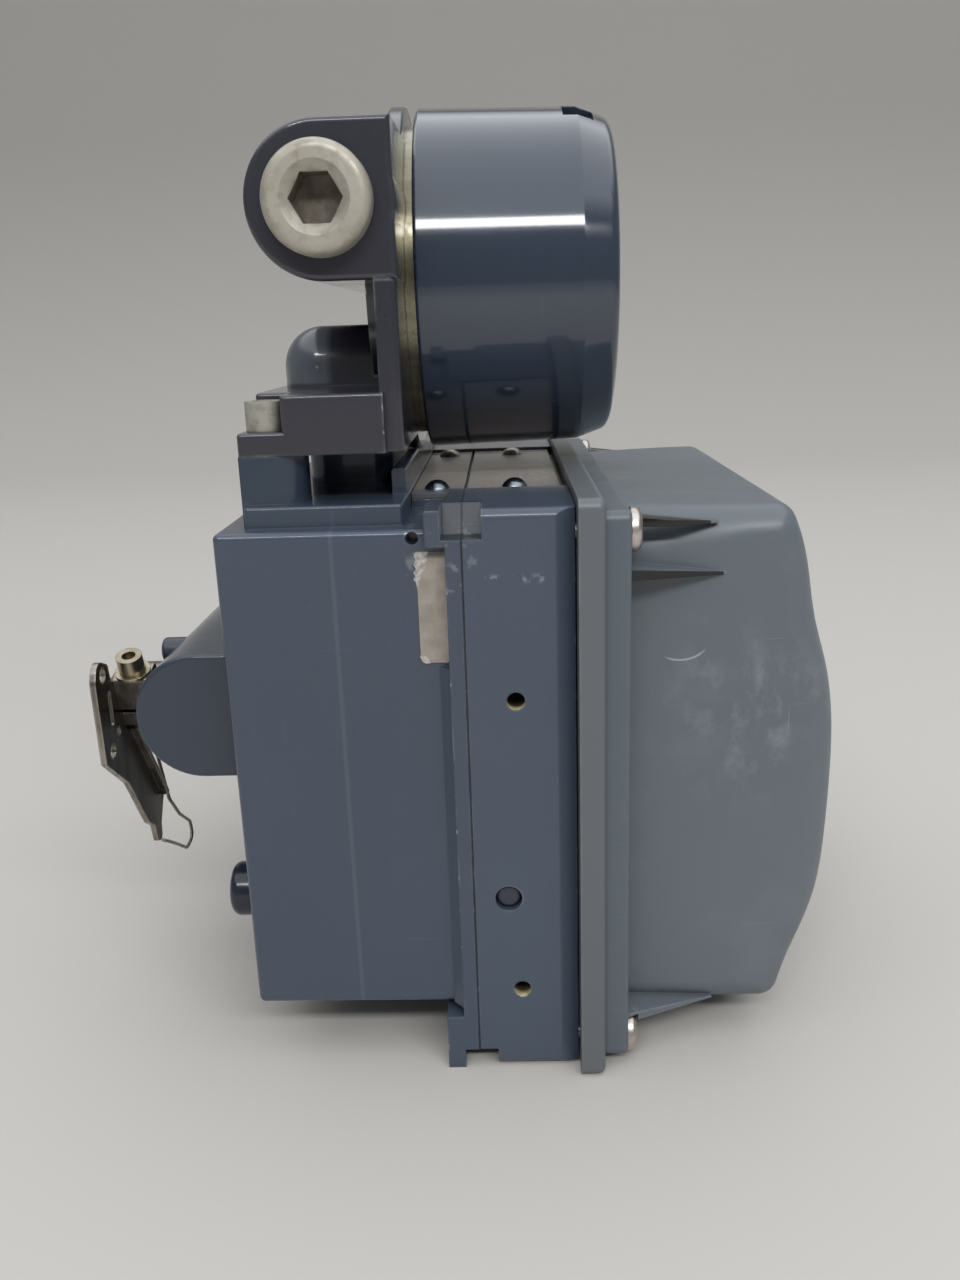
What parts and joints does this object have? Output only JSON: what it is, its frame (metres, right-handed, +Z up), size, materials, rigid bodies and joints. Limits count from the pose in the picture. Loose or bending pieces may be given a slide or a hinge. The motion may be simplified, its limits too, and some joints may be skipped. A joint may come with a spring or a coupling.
{
  "type": "electro-pneumatic valve positioner",
  "caption": "Valve positioner that turns a current signal into actuator air: cast housing, front cover, capped terminal box and a feedback arm on the rear.",
  "frame": {"origin": "centre of the four tapped mounting holes, on the rear face of the housing", "axes": "+X from the rear face towards the front cover, +Z up with the terminal box on top, -Y the side with the gauge holes"},
  "size_m": [0.1811, 0.16, 0.2314],
  "materials": {
    "housing_paint": "semi-gloss slate grey enamel on die-cast aluminium",
    "terminal_paint": "semi-gloss dark purple-grey enamel on die-cast aluminium",
    "cap_paint": "glossy dark blue-grey enamel",
    "cover_plastic": "satin grey moulded plastic",
    "plate_paint": "worn satin grey plate",
    "seal_rubber": "matt black nitrile",
    "zinc_steel": "zinc-plated steel",
    "pale_steel": "dull cream-grey plated steel",
    "plate_screw_steel": "plated steel",
    "cover_screw_steel": "bright stainless steel",
    "clamp_steel": "yellowed zinc plate",
    "arm_steel": "dark phosphated spring steel",
    "spring_steel": "drawn spring wire",
    "shaft_steel": "ground stainless steel",
    "bush_bronze": "sintered bronze",
    "vent_plastic": "dark blue-grey plastic",
    "module_plastic": "black moulded plastic",
    "module_alloy": "plain cast aluminium",
    "disc_plastic": "light moulded plastic",
    "label_foil": "bare torn foil label, no lettering"
  },
  "bodies": {
    "root": {"housing": "housing_paint", "module_base": "housing_paint", "base_seal": "seal_rubber", "base_screws": "zinc_steel", "rear_plate_top": "plate_paint", "front_plate_top": "plate_paint", "plate_screws": "plate_screw_steel", "port_blank": "vent_plastic", "rear_vent": "vent_plastic", "blank_label": "label_foil", "shaft_bushes": "bush_bronze", "travel_sensor": "module_plastic", "sensor_screws": "zinc_steel", "current_converter": "module_alloy", "converter_screws": "zinc_steel", "pneumatic_relay": "module_alloy", "relay_screws": "zinc_steel", "electronics_module": "module_plastic", "electronics_screws": "zinc_steel", "terminal_box": "terminal_paint", "conduit_barrel": "terminal_paint", "terminal_chamber": "terminal_paint", "terminal_box_gasket": "seal_rubber", "terminal_box_screws": "pale_steel", "terminal_strip": "module_plastic", "terminal_screws": "zinc_steel", "cap_seal": "seal_rubber", "conduit_plug": "pale_steel"},
    "terminal_cap": {"terminal_cap": "cap_paint"},
    "front_cover": {"front_cover": "cover_plastic", "cover_seal": "seal_rubber", "cover_screws": "cover_screw_steel", "screw_rings": "zinc_steel"},
    "relay_disc": {"relay_disc": "disc_plastic"},
    "feedback_arm": {"travel_shaft": "shaft_steel", "sensor_rotor": "module_plastic", "arm_hub": "arm_steel", "feedback_arm": "arm_steel", "clamp_screw": "clamp_steel", "clamp_washer": "clamp_steel", "bias_spring": "spring_steel"}
  },
  "joints": [
    {"name": "arm_swing", "type": "hinge", "parent": "root", "child": "feedback_arm", "pos_m": [-0.0373, -0.032, 0.012], "axis": [1, 0, 0], "range_deg": [-45, 45]},
    {"name": "cap_travel", "type": "slide", "parent": "root", "child": "terminal_cap", "axis": [1, 0, 0], "range_m": [0, 0.07]},
    {"name": "cover_travel", "type": "slide", "parent": "root", "child": "front_cover", "axis": [1, 0, 0], "range_m": [0, 0.09]},
    {"name": "relay_disc_turn", "type": "hinge", "parent": "root", "child": "relay_disc", "pos_m": [0.1, 0.036, -0.028], "axis": [1, 0, 0], "range_deg": [0, 90]}
  ]
}
